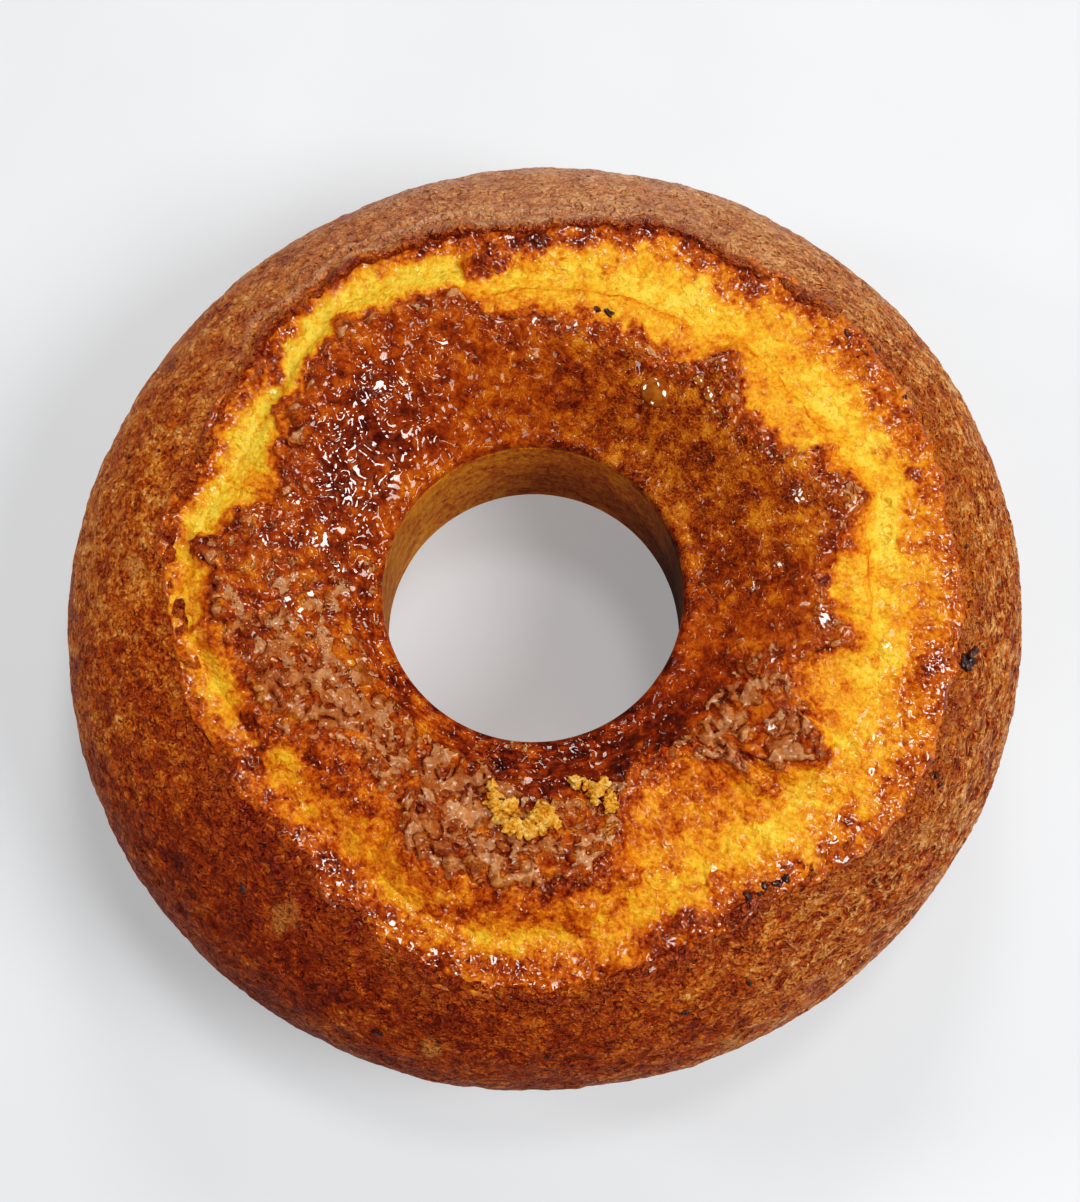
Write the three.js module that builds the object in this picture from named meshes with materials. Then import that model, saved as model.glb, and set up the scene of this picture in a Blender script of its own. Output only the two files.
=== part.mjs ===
// A plain ring cake, uncut, standing on its flat base with its risen top up.
//
// The mould gave it a smooth tapering side and a conical hole. In the oven the crown rose and tore
// open in a ring: inside the tear lies the brown cap, outside it the crust of the shoulder, whose
// torn edge stands up as a lip. Between them shows the lighter crumb, a rough bank that drops from
// the lip to a valley, and a smoother slope that climbs from the valley to the cap's flaky edge.
//
// The cake is one closed solid: a section of named places is worked out for every direction round
// the cake, and the sections are joined into one skin. Millimetres and degrees; +Z is up; 0 degrees
// is +X and 90 degrees is +Y. The origin is under the middle of the cake, on the surface it rests on.

import * as THREE from 'three';

// Outside, as the mould made it
const SIDE_RADIUS = 119; // at the widest place of the side
const SIDE_SWELL = 1.6; // the side is this far from round, out one way and in the other
const SWELL_DIRECTION = 21;
const WIDEST_HEIGHT = 38;
const FOOT_RADIUS = 111; // where the side, drawn on down, would meet the surface
const FOOT_EDGE = 9; // radius of the rounded bottom edge
const SIDE_BOW = 1.25; // 1 is a straight taper; more eases into the widest place

// The hole, a little off the middle and wider at the bottom
const HOLE_CENTRE = { x: -3, y: 0.5 };
const RIM_RADIUS = 36.5;
const RIM_HEIGHT = 60;
const RIM_EDGE = 2;
const HOLE_FOOT_RADIUS = 39.5;
const HOLE_FOOT_EDGE = 3;

// The crown, a dome in section
const CREST_RADIUS = 72;
const CREST_HEIGHT = 73;

// The torn edge of the shoulder's crust, every 10 degrees
const LIP_STEP = 10;
const LIP_RADII = [
  98, 97, 98, 98, 98, 97, 95.5, 96, 95, 90.5, 91, 93, 93.5, 93, 91, 89, 88, 91.5,
  88.5, 87, 85.5, 85, 84, 85.5, 88, 93, 95, 95, 93, 90, 88, 91, 94, 97, 96.5, 96.5,
];
const LIP_RISE = 0.8; // the lip stands this far above the dome
const LIP_DROP = 1.8; // and the crumb starts this far below the lip
const LIP_WIDTH = 3;
const EDGE_SLANT = 1; // a torn edge drops to the crumb over this distance

// The edge of the cap: its usual radius every 10 degrees, and the flakes that reach past it
const CAP_STEP = 10;
const CAP_RADII = [
  66, 72, 76, 67, 65, 69, 64, 66, 67, 67, 68, 77, 79, 79, 76, 73, 68, 77,
  79, 77, 73, 70, 61, 60, 67, 72, 71, 70, 68, 56, 51, 54, 66, 73, 62, 70,
];
const FLAKES = [
  { at: 16, halfWidth: 4, reach: 5 },
  { at: 51, halfWidth: 4, reach: 5 },
  { at: 107, halfWidth: 4, reach: 3 },
  { at: 127, halfWidth: 4, reach: 3 },
  { at: 137, halfWidth: 4, reach: 2 },
  { at: 174, halfWidth: 4, reach: 5 },
  { at: 204, halfWidth: 4, reach: 3 },
  { at: 244, halfWidth: 4, reach: 3 },
  { at: 261, halfWidth: 4, reach: 2 },
  { at: 285, halfWidth: 4, reach: 3 },
  { at: 327, halfWidth: 4, reach: 4 },
  { at: 350, halfWidth: 4, reach: 5 },
];
const CAP_RISE = 1; // the cap's edge stands this far above the dome
const CAP_DROP = 2.2; // and the crumb meets it this far below

// The valley between the two edges, every 20 degrees
const VALLEY_STEP = 20;
const VALLEY_RADII = [
  80, 83, 79, 78, 77, 80, 86, 81, 80, 86, 80, 77, 79, 83, 79, 73, 76, 80,
];
const VALLEY_MARGIN = 3; // it stays this far from both edges
const VALLEY_DEPTH = 4.5; // below the dome where the tear is wide
const WIDE_TEAR = 26; // a tear this wide has the full depth

// Lumps of crust and knobs of crumb
const CAP_LUMPS = { count: 80, seed: 11, from: 0.35, to: 1, size: [3, 6], height: [0.5, 1.5] };
const CRUMB_KNOBS = { count: 100, seed: 23, from: 0.05, to: 0.95, size: [2.5, 4.5], height: [0.4, 1.2] };
const SIDE_RIPPLE = 0.5;

// How finely the skin is divided
const SECTIONS = 140;
const FOOT_RINGS = 3;
const SIDE_RINGS = 3;
const SHOULDER_RINGS = 7;
const BANK_RINGS = 3;
const SLOPE_RINGS = 3;
const CAP_RINGS = 6;
const RIM_RINGS = 3;
const HOLE_RINGS = 3;
const HOLE_FOOT_RINGS = 2;

const { cos, sin, PI, hypot, max, min, exp, floor, atan2 } = Math;
const radians = THREE.MathUtils.degToRad;
const mix = THREE.MathUtils.lerp;

// --- Rules for unevenness ---

// A repeatable source of numbers from 0 to 1.
function randomFrom(seed) {
  let state = seed;
  return () => {
    state = (state * 16807) % 2147483647;
    return state / 2147483647;
  };
}

// A closed curve through values that lie evenly round the cake.
function smoothRound(values, step) {
  return (degrees) => {
    const place = ((degrees % 360) + 360) % 360 / step;
    const at = (k) => values[(floor(place) + k + values.length) % values.length];
    const t = place - floor(place);
    const [a, b, c, d] = [at(-1), at(0), at(1), at(2)];
    return b + 0.5 * t * (c - a + t * (2 * a - 5 * b + 4 * c - d + t * (3 * (b - c) + d - a)));
  };
}

// A wave that closes on itself round the cake, made of the given number of harmonics.
function wander(seed, lowest, harmonics) {
  const random = randomFrom(seed);
  const phases = Array.from({ length: harmonics }, () => 360 * random());
  return (degrees) =>
    phases.reduce((sum, phase, k) => sum + cos(radians((lowest + k) * degrees + phase)), 0) / harmonics;
}

// Smallest angle between two directions.
function turn(a, b) {
  return Math.abs(((a - b) % 360 + 540) % 360 - 180);
}

// Round bumps at random places between two edges of a ring. Each edge gives a radius by direction.
function bumps({ count, seed, from, to, size, height }, innerEdge, outerEdge) {
  const random = randomFrom(seed);
  const list = Array.from({ length: count }, () => {
    const degrees = 360 * random();
    const radius = mix(innerEdge(degrees), outerEdge(degrees), mix(from, to, random()));
    return {
      x: radius * cos(radians(degrees)),
      y: radius * sin(radians(degrees)),
      size: mix(...size, random()),
      height: mix(...height, random()),
    };
  });
  return (x, y) => list.reduce((top, bump) => {
    const away = hypot(x - bump.x, y - bump.y) / bump.size;
    return max(top, bump.height * exp(-away * away));
  }, 0);
}

// --- Edges of the crown, each a radius by direction ---

const lipRadius = smoothRound(LIP_RADII, LIP_STEP);
const capBody = smoothRound(CAP_RADII, CAP_STEP);
const valleyBody = smoothRound(VALLEY_RADII, VALLEY_STEP);
const sideWander = wander(31, 5, 9);

function sideRadius(degrees) {
  return SIDE_RADIUS + SIDE_SWELL * cos(2 * radians(degrees - SWELL_DIRECTION));
}

function capRadius(degrees) {
  const reach = FLAKES.reduce((most, { at, halfWidth, reach }) => {
    const away = turn(degrees, at) / halfWidth;
    return max(most, reach * max(0, 1 - away * away));
  }, 0);
  return min(capBody(degrees) + reach, lipRadius(degrees) - LIP_WIDTH);
}

function valleyRadius(degrees) {
  const nearest = capRadius(degrees) + VALLEY_MARGIN;
  const furthest = lipRadius(degrees) - VALLEY_MARGIN;
  return THREE.MathUtils.clamp(valleyBody(degrees), nearest, furthest);
}

// Height of the plain dome, before it tore, at a radius in a direction.
function domeHeight(radius, degrees) {
  if (radius < CREST_RADIUS) {
    const inward = (CREST_RADIUS - radius) / (CREST_RADIUS - RIM_RADIUS);
    return CREST_HEIGHT - (CREST_HEIGHT - RIM_HEIGHT) * inward * inward;
  }
  const outward = min(1, (radius - CREST_RADIUS) / (sideRadius(degrees) - CREST_RADIUS));
  return WIDEST_HEIGHT + (CREST_HEIGHT - WIDEST_HEIGHT) * Math.sqrt(1 - outward * outward);
}

const rimRadiusOf = () => RIM_RADIUS;
const capLumps = bumps(CAP_LUMPS, rimRadiusOf, capRadius);
const crumbKnobs = bumps(CRUMB_KNOBS, capRadius, lipRadius);

// --- One section of the cake, as a closed list of points ---

// A point at a radius round the cake's own axis.
function around(degrees, radius, height) {
  return new THREE.Vector3(radius * cos(radians(degrees)), radius * sin(radians(degrees)), height);
}

// A point at a radius round the axis of the hole.
function aroundHole(degrees, radius, height) {
  return around(degrees, radius, height).add(new THREE.Vector3(HOLE_CENTRE.x, HOLE_CENTRE.y, 0));
}

// Points of a quarter round, from one end to the other and both included.
function quarter(rings, place) {
  return Array.from({ length: rings + 1 }, (_, k) => place((k / rings) * PI / 2));
}

// Shares of the way from one place to the next, both left out.
function between(rings, place) {
  return Array.from({ length: rings }, (_, k) => place((k + 1) / (rings + 1)));
}

function outside(degrees) {
  const side = sideRadius(degrees);
  const foot = FOOT_RADIUS + side - SIDE_RADIUS;
  const wallRadius = (height) => side - (side - foot) * (1 - height / WIDEST_HEIGHT) ** SIDE_BOW;
  const ripple = (height) => SIDE_RIPPLE * sideWander(degrees + height) * min(1, height / WIDEST_HEIGHT);
  const taper = atan2(SIDE_BOW * (side - foot), WIDEST_HEIGHT);
  const edgeTop = FOOT_EDGE * (1 - sin(taper));
  const edgeMiddle = wallRadius(edgeTop) - FOOT_EDGE * cos(taper);
  const bottomEdge = Array.from({ length: FOOT_RINGS + 1 }, (_, k) => {
    const a = (PI / 2 - taper) * (k / FOOT_RINGS);
    return around(degrees, edgeMiddle + FOOT_EDGE * sin(a), FOOT_EDGE * (1 - cos(a)));
  });
  const wall = between(SIDE_RINGS, (t) => {
    const height = mix(edgeTop, WIDEST_HEIGHT, t);
    return around(degrees, wallRadius(height) + ripple(height), height);
  });
  const lipFoot = lipRadius(degrees) + LIP_WIDTH;
  const lipAngle = Math.acos((lipFoot - CREST_RADIUS) / (side - CREST_RADIUS));
  const shoulder = Array.from({ length: SHOULDER_RINGS + 1 }, (_, k) => {
    const a = lipAngle * (k / SHOULDER_RINGS);
    const height = WIDEST_HEIGHT + (CREST_HEIGHT - WIDEST_HEIGHT) * sin(a);
    return around(degrees, CREST_RADIUS + (side - CREST_RADIUS) * cos(a) + ripple(height), height);
  });
  return [...bottomEdge, ...wall, ...shoulder];
}

function tear(degrees) {
  const lip = lipRadius(degrees);
  const valley = valleyRadius(degrees);
  const cap = capRadius(degrees);
  const depth = VALLEY_DEPTH * min(1, (lip - cap) / WIDE_TEAR);
  const lipTop = domeHeight(lip, degrees) + LIP_RISE;
  const capTop = domeHeight(cap, degrees) + CAP_RISE;
  const bottom = domeHeight(valley, degrees) - depth;
  const crumb = (radius, height) => {
    const point = around(degrees, radius, height);
    point.z += crumbKnobs(point.x, point.y);
    return point;
  };
  const bank = [0, ...between(BANK_RINGS, (t) => t)].map((t) =>
    crumb(mix(lip - EDGE_SLANT, valley, t), mix(lipTop - LIP_DROP, bottom, t * t)));
  const slope = [0, ...between(SLOPE_RINGS, (t) => t), 1].map((t) =>
    crumb(mix(valley, cap + EDGE_SLANT, t), mix(bottom, capTop - CAP_DROP, sin(t * PI / 2))));
  return [around(degrees, lip, lipTop), ...bank, ...slope];
}

function cap(degrees) {
  const edge = around(degrees, capRadius(degrees), 0);
  const rim = aroundHole(degrees, RIM_RADIUS + RIM_EDGE, 0);
  return Array.from({ length: CAP_RINGS + 1 }, (_, k) => {
    const t = k / CAP_RINGS;
    const point = edge.clone().lerp(rim, t);
    const direction = THREE.MathUtils.radToDeg(atan2(point.y, point.x));
    const rise = CAP_RISE * (1 - t) * (1 - t);
    const smoothAtRim = 1 - t;
    point.z = mix(domeHeight(hypot(point.x, point.y), direction), RIM_HEIGHT + RIM_EDGE, t ** 4);
    point.z += rise + smoothAtRim * capLumps(point.x, point.y);
    return point;
  });
}

function hole(degrees) {
  const rimEdge = quarter(RIM_RINGS, (a) =>
    aroundHole(degrees, RIM_RADIUS + RIM_EDGE * (1 - sin(a)), RIM_HEIGHT + RIM_EDGE * cos(a))).slice(1);
  const wall = between(HOLE_RINGS, (t) =>
    aroundHole(degrees, mix(RIM_RADIUS, HOLE_FOOT_RADIUS, t), mix(RIM_HEIGHT, HOLE_FOOT_EDGE, t)));
  const bottomEdge = quarter(HOLE_FOOT_RINGS, (a) =>
    aroundHole(degrees, HOLE_FOOT_RADIUS + HOLE_FOOT_EDGE * (1 - cos(a)), HOLE_FOOT_EDGE * (1 - sin(a))));
  return [...rimEdge, ...wall, ...bottomEdge];
}

function section(degrees) {
  return [...outside(degrees), ...tear(degrees), ...cap(degrees), ...hole(degrees)];
}

// --- The skin ---

// Joins sections into one closed skin whose faces point out.
function skin(sections) {
  const rings = sections[0].length;
  const vertex = (s, r) => (s % sections.length) * rings + (r % rings);
  const positions = sections.flat().flatMap((point) => point.toArray());
  const triangles = [];
  for (let s = 0; s < sections.length; s += 1) {
    for (let r = 0; r < rings; r += 1) {
      const [a, b, c, d] = [vertex(s, r), vertex(s + 1, r), vertex(s + 1, r + 1), vertex(s, r + 1)];
      triangles.push(a, b, c, a, c, d);
    }
  }
  const geometry = new THREE.BufferGeometry();
  geometry.setAttribute('position', new THREE.Float32BufferAttribute(positions, 3));
  geometry.setIndex(triangles);
  return geometry;
}

// Puts the origin under the middle of the solid.
function centre(geometry) {
  geometry.computeBoundingBox();
  const middle = geometry.boundingBox.getCenter(new THREE.Vector3());
  geometry.translate(-middle.x, -middle.y, -geometry.boundingBox.min.z);
  geometry.computeVertexNormals();
  return geometry;
}

const sections = Array.from({ length: SECTIONS }, (_, s) => section((s / SECTIONS) * 360));
const cake = new THREE.Mesh(
  centre(skin(sections)),
  new THREE.MeshStandardMaterial({ color: 0xa85c22, roughness: 0.55, metalness: 0 }),
);
cake.name = 'cake';

const ringCake = new THREE.Group();
ringCake.add(cake);

export default ringCake;
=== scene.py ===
import math

import bmesh
import bpy
import numpy as np
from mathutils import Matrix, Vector


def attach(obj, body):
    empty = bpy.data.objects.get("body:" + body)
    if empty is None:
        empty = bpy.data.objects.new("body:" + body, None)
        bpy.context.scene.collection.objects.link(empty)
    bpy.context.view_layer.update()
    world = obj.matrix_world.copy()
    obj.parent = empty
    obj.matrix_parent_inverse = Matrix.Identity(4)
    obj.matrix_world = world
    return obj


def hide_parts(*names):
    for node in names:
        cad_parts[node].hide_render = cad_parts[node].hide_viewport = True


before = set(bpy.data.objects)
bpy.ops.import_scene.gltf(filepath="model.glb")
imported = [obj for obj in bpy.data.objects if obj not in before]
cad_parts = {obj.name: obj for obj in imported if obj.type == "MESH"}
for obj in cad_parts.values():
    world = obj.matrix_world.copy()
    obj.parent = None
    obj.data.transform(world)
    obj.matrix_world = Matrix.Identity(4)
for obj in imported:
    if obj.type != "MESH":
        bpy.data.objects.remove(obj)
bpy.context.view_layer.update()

# A glazed ring cake. Its looks are four closed skins that stand for the one solid: the core with
# the hole and the underside, the crust of the mould's side up to its torn lip, the crumb that shows
# in the tear, and the brown cap. On them lie blisters of syrup, loose crumbs and burnt specks.
#
# Sizes are in mm and directions in degrees round the cake, with 0 at +X and 90 at +Y, until a mesh
# is made. "turn" is always an array of directions, and a ring is an array of points, one for each.

MM = 0.001

# --- Driving sizes, the same as the solid's ---

SIDE_RADIUS = 119.0
SIDE_SWELL = 1.6
SWELL_DIRECTION = 21.0
WIDEST_HEIGHT = 38.0
FOOT_RADIUS = 111.0
FOOT_EDGE = 9.0
SIDE_BOW = 1.25
SIDE_RIPPLE = 0.5

HOLE_CENTRE = np.array([-3.0, 0.5, 0.0])
RIM_RADIUS = 36.5
RIM_HEIGHT = 60.0
RIM_EDGE = 2.0
HOLE_FOOT_RADIUS = 39.5
HOLE_FOOT_EDGE = 3.0

CREST_RADIUS = 72.0
CREST_HEIGHT = 73.0

# Radii round the cake: of the lip and the cap's edge every 10 degrees, of the valley every 20
LIP_RADII = [
    98, 97, 98, 98, 98, 97, 95.5, 96, 95, 90.5, 91, 93, 93.5, 93, 91, 89, 88, 91.5,
    88.5, 87, 85.5, 85, 84, 85.5, 88, 93, 95, 95, 93, 90, 88, 91, 94, 97, 96.5, 96.5,
]
LIP_RISE = 0.8
LIP_WIDTH = 3.0

VALLEY_RADII = [80, 83, 79, 78, 77, 80, 86, 81, 80, 86, 80, 77, 79, 83, 79, 73, 76, 80]
VALLEY_DEPTH = 4.5
WIDE_TEAR = 26.0  # the tear's width from which the valley is at its full depth

CAP_RADII = [
    66, 72, 76, 67, 65, 69, 64, 66, 67, 67, 68, 77, 79, 79, 76, 73, 68, 77,
    79, 77, 73, 70, 61, 60, 67, 72, 71, 70, 68, 56, 51, 54, 66, 73, 62, 70,
]
# Flakes and bites of the cap's edge: direction, half width in degrees, reach in mm
FLAKES = [
    (16, 4, 5), (22.5, 1.5, -3), (26.5, 2, 5), (51, 4, 5), (107, 2.5, 3), (127, 3, 3), (137, 4, 2),
    (163.5, 2, -2), (174, 3, 5), (204, 3, 3), (237.5, 3, -5), (244, 3, 3), (261, 4, 2), (285, 3, 3),
    (313, 1.5, -3), (316.5, 1.5, 4), (319, 1.3, -3), (321.5, 1.5, 3), (327, 4, 4), (332.5, 1.5, -3),
    (350, 3, 5), (354.5, 1.5, -3),
]
CAP_RISE = 1.0
# Where the cap's edge stands proud of the crumb: direction, half width in degrees and share
PROUD_EDGES = [
    (18, 22, 1), (52, 16, 1), (105, 30, 0.8), (170, 24, 1), (262, 26, 0.7), (326, 22, 1), (350, 14, 0.9),
]

# --- Tones and small forms, by their place round the cake ---

# How brown the crumb is, every 20 degrees: on the bank under the lip, and on the slope up to the cap
BANK_TAN = [
    0.32, 0.2, 0.12, 0.1, 0.1, 0.1, -0.1, -0.1, 0.05, 0.34, 0.4, 0.45, 0.64, 0.8, 0.66, 0.45, 0.34, 0.34]
SLOPE_TAN = [
    0.5, 0.42, 0.3, 0.2, 0.25, 0.2, -0.05, -0.1, 0.2, 0.58, 0.62, 0.7, 0.85, 1.05, 0.85, 0.62, 0.55, 0.45]
# How dark the crust is, every 20 degrees, and how far in mm the lip's dark red runs out over it
CRUST_BAKE = [
    0.38, 0.36, 0.35, 0.32, 0.29, 0.29, 0.31, 0.3, 0.3, 0.32, 0.4, 0.53, 0.53, 0.47, 0.43, 0.38, 0.37, 0.38]
STAIN_REACH = [6, 6, 3, 0.5, 0.5, 0.5, 0.5, 1, 1, 2, 5, 11, 8, 4, 4, 4, 6, 7]
# How dark the lip's edge is, every 20 degrees: 0 amber, 1 dark red
LIP_DARK = [0.2, 0.2, 0.7, 0.9, 0.9, 0.9, 0.8, 0.85, 0.7, 0.5, 0.5, 0.95, 0.9, 0.6, 0.8, 0.8, 0.4, 0.35]
# How clearly the crust breaks off at the lip, every 20 degrees: 1 a step, 0 a passage with no edge
LIP_STEPS = [0, 0, 0.35, 0.8, 1, 1, 1, 0.8, 0.6, 0.4, 0.3, 0.4, 0.6, 0.75, 0.75, 0.5, 0.15, 0]
# How far in mm the dark crags of the lip hang over the crumb, every 10 degrees
CRAG_WIDTHS = [
    5, 4.5, 4.5, 4.5, 5, 4, 7.5, 4, 6, 5.5, 6, 3.5, 3, 3, 6, 4, 4, 3,
    1.5, 2, 2, 4.5, 3, 6, 3.5, 3, 3, 3, 2, 7, 4, 2.5, 2.5, 3.5, 5, 6,
]
# Brown lumps in the tear: direction, radius, size, rise and tone
TEAR_LUMPS = [
    (99, 83.5, 5, 1.4, 0.62), (102.5, 80.5, 5, 2.6, 0.68), (142, 86, 5.5, 1.2, 0.64),
    (127, 79.5, 4, 1.4, 0.6), (146, 76, 5.5, 0.8, 0.58), (174, 81, 5.5, 1.8, 0.68), (293, 86, 6, 1.2, 0.66),
    (299, 79.5, 3, 0.7, 0.5), (322, 88.5, 3, 0.8, 0.66), (317, 91, 3, 0.6, 0.62), (7, 86.5, 2.6, 0.5, 0.4),
    (17.5, 93.5, 3, 0.8, 0.58), (79, 81.5, 2.5, 0.6, 0.4), (276, 77.5, 6, 1.0, 0.54),
    (286, 70.5, 4, 0.8, 0.55), (280, 68.5, 6, 0.8, 0.7), (312.5, 71.5, 4.5, 0.6, 0.48),
    (309, 61, 3.5, 0.7, 0.62), (235, 85, 7, 0.4, 0.62), (347, 93, 5, 0.6, 0.6), (188, 79, 6, 0.5, 0.5),
    (206, 74.5, 7, 0.6, 0.62), (253, 76, 8, 0.5, 0.5), (63, 72, 1.8, 0.7, 0.36), (265, 74, 6, 0.5, 0.55),
    (60, 64, 4, 0.3, 0.42), (303, 64, 6, 0.4, 0.42), (294, 70, 6, 0.3, 0.42), (211, 79.5, 4.5, 0.9, 0.62),
    (218, 67, 6.5, 0.3, 0.63), (224.5, 66.5, 7, 0.3, 0.62), (231, 66, 6, 0.3, 0.58),
    (305, 57, 7, 0.4, 0.5), (318, 68, 6, 0.4, 0.5), (296, 58, 6, 0.3, 0.44),
]
# Thin sheets of crumb that slope up to the cap: first and last direction, and radius of the free edge
SHEETS = [(-7, 8, 77), (26, 52, 76.5), (60, 101, 74)]
# Pale bare patches on the crust: direction, radius and size
PALE_PATCHES = [
    (232, 97.7, 4.5), (256, 110.5, 3), (292.6, 115, 3), (354.5, 100, 4), (328, 106, 3), (85, 100, 2),
    (177, 98, 3),
]
# Smooth wet flakes that lie aslant, on the cap and in the tear: direction, radius and size
CAP_SLANTS = [
    (19.6, 64.2, 3.2), (353, 66.5, 3.6), (5.5, 55.6, 1.6), (1, 50, 1.6), (49.5, 61, 1.6), (327, 62.5, 1.8),
    (83, 65.5, 1.8), (92, 65, 1.8), (112.5, 64, 2.6), (129, 64, 3), (125, 60.5, 2.4), (165, 70.5, 2.6),
    (171.5, 68, 2.8), (168, 55, 3.2), (184, 61, 2.2), (190, 64.5, 2.4), (186.5, 58, 2), (178, 65, 2),
    (182, 55.5, 1.8), (161, 63, 2.6), (174, 50, 2), (309.5, 61.5, 1.6), (312, 57.5, 1.5), (342, 56, 1.6),
]
TEAR_SLANTS = [
    (335, 85.5, 2.4), (321, 87.5, 1.8), (350, 82, 1.8), (330, 88, 1.6), (256, 87, 1.5), (246, 86, 1.7),
    (262, 88, 1.5), (318, 89.5, 2), (300, 77, 1.6), (60, 80, 1.5), (311, 86, 1.6),
]
SLANT = 0.41  # how steeply they fall, so that they mirror the window lamp into the camera
SLANT_WAY = -31.0  # the direction in which they fall
# Sides of the cake with looks of their own: the direction of the middle and the reach each way
# Painted shade on the hole's wall: darkest on the right, lighter on the left
PAINTED_SHADOW_WALL = (-5, 85)
SHADED_WALL = (185, 65)
FOLDED_CRUST = (112, 70)
# painted sheen on the crust at the back
PAINTED_SHEEN_CRUST = (85, 80)
GLOSSY_CRUST_BACK = (80, 75)
GLOSSY_CRUST_FRONT = (328, 75)
WET_BANK_RIGHT = (335, 50)
WET_BANK_FRONT = (255, 35)
ROUGH_CAP_LEFT = (170, 90)
ROUGH_CAP_FRONT = (262, 75)
GLAZED_CAP = (146, 44)
VELVET_CAP = (45, 85)
DARK_CAP_RIM = (290, 85)
STREAKED_CAP_RIM = (240, 130)
FLAKY_CAP_LEFT = (232, 90)
FLAKY_CAP_FRONT = (315, 52)
BARE_CAP_RIM = (255, 350)  # first and last direction

# --- Unevenness ---


def random_from(seed):
    """A repeatable source of numbers from 0 to 1, the solid's own."""
    state = seed
    while True:
        state = state * 16807 % 2147483647
        yield state / 2147483647


def wander(seed, lowest, harmonics):
    """A wave that closes on itself round the cake."""
    source = random_from(seed)
    phases = [360 * next(source) for _ in range(harmonics)]

    def wave(turn):
        waves = [np.cos(np.radians((lowest + k) * turn + phase)) for k, phase in enumerate(phases)]
        return sum(waves) / harmonics

    return wave


def smooth_round(values, turn):
    """A closed curve through values that lie evenly round the cake."""
    values = np.array(values, float)
    place = (turn % 360) / 360 * len(values)
    first = np.floor(place).astype(int)
    t = place - first
    a, b, c, d = (values[(first + k) % len(values)] for k in (-1, 0, 1, 2))
    return b + 0.5 * t * (c - a + t * (2 * a - 5 * b + 4 * c - d + t * (3 * (b - c) + d - a)))


def away_from(turn, at):
    """Degrees between two directions."""
    return np.abs((turn - at + 540) % 360 - 180)


def bell(turn, at, half_width):
    """1 in one direction, falling softly to 0."""
    away = np.minimum(away_from(turn, at) / half_width, 1)
    return np.cos(away * math.pi / 2) ** 2


def between(turn, first, last, soft=2.0):
    """1 between two directions, with soft ends."""
    return smoothstep((last - first) / 2 - away_from(turn, (first + last) / 2), 0, soft)


def smoothstep(value, low, high):
    t = np.clip((value - low) / (high - low), 0, 1)
    return t * t * (3 - 2 * t)


def mix(a, b, t):
    return a + (b - a) * t


class Lumps:
    """Random unevenness in space, the same on every skin."""

    def __init__(self, seed):
        rng = np.random.default_rng(seed)
        self.order = rng.permutation(256)
        gradients = rng.normal(size=(256, 3))
        self.gradients = gradients / np.linalg.norm(gradients, axis=1, keepdims=True)

    def found(self, cell):
        x, y, z = np.moveaxis(cell, -1, 0)
        return self.order[(self.order[(self.order[x & 255] + y) & 255] + z) & 255]

    def at(self, points, size):
        """Smooth lumps, from about -1 to 1."""
        places = points / size
        cell = np.floor(places).astype(int)
        inside = places - cell
        ease = inside ** 3 * (inside * (inside * 6 - 15) + 10)
        total = 0
        for corner in np.ndindex(2, 2, 2):
            slope = ((inside - corner) * self.gradients[self.found(cell + corner)]).sum(-1)
            total = total + slope * np.where(corner, ease, 1 - ease).prod(-1)
        return 1.7 * total

    def rough(self, points, size, octaves, gain=0.5):
        """Lumps of the given size with ever finer ones on them."""
        return sum(gain ** k * self.at(points + 31.7 * k, size / 2 ** k) for k in range(octaves))

    def pebbles(self, points, size):
        """Rounded pebbles side by side: 1 on top of each and 0 in the gaps."""
        places = points / size
        cell = np.floor(places).astype(int)
        nearest = np.full(points.shape[:-1], 1.0)
        for corner in np.ndindex(3, 3, 3):
            home = cell + corner - 1
            centre = home + 0.5 + 0.45 * self.gradients[self.found(home)]
            nearest = np.minimum(nearest, ((places - centre) ** 2).sum(-1))
        return 1 - nearest


lumps = Lumps(7)

# --- Places round the cake ---


def around(turn, radius, height):
    """A ring round the cake's own axis."""
    angle = np.radians(turn)
    return np.stack([radius * np.cos(angle), radius * np.sin(angle), height + 0 * turn], -1)


def around_hole(turn, radius, height):
    """A ring round the axis of the hole."""
    return around(turn, radius, height) + HOLE_CENTRE


def polar(points):
    """Direction and radius of points."""
    return np.degrees(np.arctan2(points[..., 1], points[..., 0])), np.hypot(points[..., 0], points[..., 1])


def spot(points, at, radius, size, raggedness=0.0, edge=1.0):
    """1 in the middle of a round or ragged spot at a direction and radius, 0 from its edge on."""
    centre = around(np.array([float(at)]), radius, 0)[0]
    away = np.linalg.norm((points - centre)[..., :2], axis=-1) / size
    near = away < 2
    away[near] += raggedness * lumps.rough(points[near], 0.7 * size, 3)
    return smoothstep(1 - away, 0, edge)


def slanted(points, places, shown):
    """Points with smooth flakes laid aslant among them, and 1 where a flake is."""
    way = around(np.array([SLANT_WAY]), 1.0, 0.0)[0]
    points, flakes = points.copy(), 0 * shown
    for at, radius, size in places:
        centre = around(np.array([float(at)]), radius, 0.0)[0]
        share = spot(points, at, radius, size, 0.5, 0.5) * shown
        height = (points[..., 2] * share).sum() / max(share.sum(), 1e-6)
        points[..., 2] = mix(points[..., 2], height - SLANT * ((points - centre) @ way), 0.9 * share)
        flakes = np.maximum(flakes, share)
    return points, flakes


def ragged(turn, layer, reaches):
    """Unevenness of an edge round the cake: (size of a notch in mm, how far it goes) for each scale."""
    path = around(turn, 80.0, 60.0 * layer)
    return sum(reach * lumps.at(path + 13.3 * k, size) for k, (size, reach) in enumerate(reaches))


# --- The form ---


def side_radius(turn):
    return SIDE_RADIUS + SIDE_SWELL * np.cos(2 * np.radians(turn - SWELL_DIRECTION))


def plain_lip_radius(turn):
    return smooth_round(LIP_RADII, turn)


def lip_radius(turn):
    return plain_lip_radius(turn) + ragged(turn, 1, [(14, 1.2), (6, 1.1), (2.6, 0.7)])


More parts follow.
